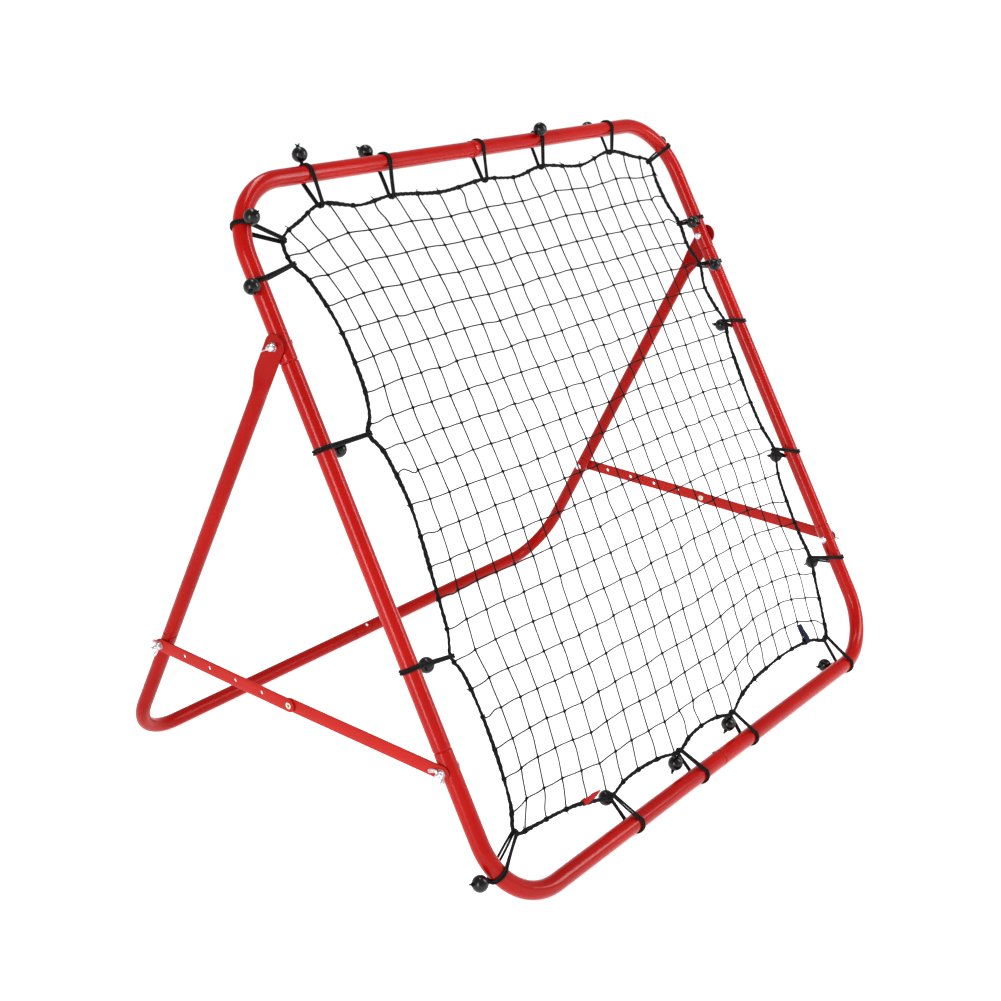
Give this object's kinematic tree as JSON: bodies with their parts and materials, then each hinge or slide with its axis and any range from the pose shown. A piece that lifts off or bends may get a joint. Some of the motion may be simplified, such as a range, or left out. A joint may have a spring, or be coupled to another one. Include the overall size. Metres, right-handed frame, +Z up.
{
  "type": "pitch back rebounder",
  "caption": "Ball rebounder: square tube frame leaning on a folding rear leg with hinged struts, holding a black cord net with ball bungees.",
  "frame": {"origin": "centre of the bounding box in plan, on the ground plane under the feet tubes", "axes": "+X to the right as seen from the net side, +Y back from the net towards the rear leg, +Z up"},
  "size_m": [1.0924, 0.769, 0.9327],
  "materials": {
    "frame_paint": "glossy",
    "leg_paint": "glossy",
    "strut_paint": "satin",
    "zinc": "satin",
    "rivet_metal": "satin",
    "net_cord": "matte",
    "rope_cord": "matte",
    "elastic": "matte",
    "ball_plastic": "glossy",
    "tag_red_cloth": "matte",
    "tag_navy_cloth": "matte"
  },
  "bodies": {
    "front_frame": {"frame_top_left": "frame_paint", "frame_top_right": "frame_paint", "frame_bottom_left": "frame_paint", "frame_bottom_right": "frame_paint", "frame_side_left": "frame_paint", "frame_side_right": "frame_paint", "top_band": "frame_paint", "bottom_screw": "zinc", "pivot_bolt_left": "zinc", "pivot_bolt_right": "zinc", "frame_bolt_left": "zinc", "frame_bolt_right": "zinc", "frame_washers": "zinc", "net_panel": "net_cord", "border_rope": "rope_cord", "tag_red": "tag_red_cloth", "tag_navy": "tag_navy_cloth", "bungee_loops_top": "elastic", "bungee_loops_right": "elastic", "bungee_loops_bottom": "elastic", "bungee_loops_left": "elastic", "bungee_balls_top": "ball_plastic", "bungee_balls_right": "ball_plastic", "bungee_balls_bottom": "ball_plastic", "bungee_balls_left": "ball_plastic"},
    "rear_leg": {"leg_tube_left": "leg_paint", "leg_tube_right": "leg_paint", "rear_corner_left": "leg_paint", "rear_corner_right": "leg_paint", "leg_bolt_left": "zinc", "leg_bolt_right": "zinc"},
    "rear_button": {"rear_snap_button": "zinc"},
    "front_link_left": {"front_link_left": "strut_paint", "link_rivet_left": "rivet_metal"},
    "rear_link_left": {"rear_link_left": "strut_paint", "strut_stud_left": "zinc", "strut_washer_left": "zinc"},
    "pivot_nut_left": {"pivot_wing_nut_left": "zinc"},
    "frame_nut_left": {"frame_wing_nut_left": "zinc"},
    "leg_nut_left": {"leg_wing_nut_left": "zinc"},
    "front_link_right": {"front_link_right": "strut_paint", "link_rivet_right": "rivet_metal"},
    "rear_link_right": {"rear_link_right": "strut_paint", "strut_stud_right": "zinc", "strut_washer_right": "zinc"},
    "pivot_nut_right": {"pivot_wing_nut_right": "zinc"},
    "frame_nut_right": {"frame_wing_nut_right": "zinc"},
    "leg_nut_right": {"leg_wing_nut_right": "zinc"}
  },
  "joints": [
    {"name": "leg_fold", "type": "hinge", "parent": "front_frame", "child": "rear_leg", "pos_m": [0, 0.00445, 0.70043], "axis": [-1, 0, 0], "range_deg": [0, 27]},
    {"name": "front_link_fold_left", "type": "hinge", "parent": "front_frame", "child": "front_link_left", "pos_m": [-0.5215, -0.27319, 0.1912], "axis": [1, 0, 0], "range_deg": [0, 45.98]},
    {"name": "rear_link_fold_left", "type": "hinge", "parent": "front_link_left", "child": "rear_link_left", "pos_m": [-0.527, -0.00305, 0.19983], "axis": [-1, 0, 0], "range_deg": [0, 114.47]},
    {"name": "pivot_nut_spin_left", "type": "hinge", "parent": "front_frame", "child": "pivot_nut_left", "pos_m": [-0.5275, 0.00445, 0.70043], "axis": [-1, 0, 0], "continuous": true},
    {"name": "frame_nut_spin_left", "type": "hinge", "parent": "front_frame", "child": "frame_nut_left", "pos_m": [-0.5275, -0.27319, 0.1912], "axis": [-1, 0, 0], "continuous": true},
    {"name": "leg_nut_spin_left", "type": "hinge", "parent": "rear_link_left", "child": "leg_nut_left", "pos_m": [-0.5345, 0.26781, 0.20848], "axis": [-1, 0, 0], "continuous": true},
    {"name": "front_link_fold_right", "type": "hinge", "parent": "front_frame", "child": "front_link_right", "pos_m": [0.5215, -0.27319, 0.1912], "axis": [1, 0, 0], "range_deg": [0, 45.98]},
    {"name": "rear_link_fold_right", "type": "hinge", "parent": "front_link_right", "child": "rear_link_right", "pos_m": [0.527, -0.00305, 0.19983], "axis": [-1, 0, 0], "range_deg": [0, 114.47]},
    {"name": "pivot_nut_spin_right", "type": "hinge", "parent": "front_frame", "child": "pivot_nut_right", "pos_m": [0.5275, 0.00445, 0.70043], "axis": [1, 0, 0], "continuous": true},
    {"name": "frame_nut_spin_right", "type": "hinge", "parent": "front_frame", "child": "frame_nut_right", "pos_m": [0.5275, -0.27319, 0.1912], "axis": [1, 0, 0], "continuous": true},
    {"name": "leg_nut_spin_right", "type": "hinge", "parent": "rear_link_right", "child": "leg_nut_right", "pos_m": [0.5345, 0.26781, 0.20848], "axis": [1, 0, 0], "continuous": true},
    {"name": "rear_button_press", "type": "slide", "parent": "rear_leg", "child": "rear_button", "axis": [0, 0.472, -0.8816], "range_m": [0, 0.0028], "stiffness_N_per_m": 400}
  ],
  "couplings": [
    {"joint": "front_link_fold_left", "follows": "leg_fold", "ratio": 1.7021},
    {"joint": "rear_link_fold_left", "follows": "leg_fold", "ratio": 4.2388},
    {"joint": "front_link_fold_right", "follows": "leg_fold", "ratio": 1.7021},
    {"joint": "rear_link_fold_right", "follows": "leg_fold", "ratio": 4.2388}
  ]
}
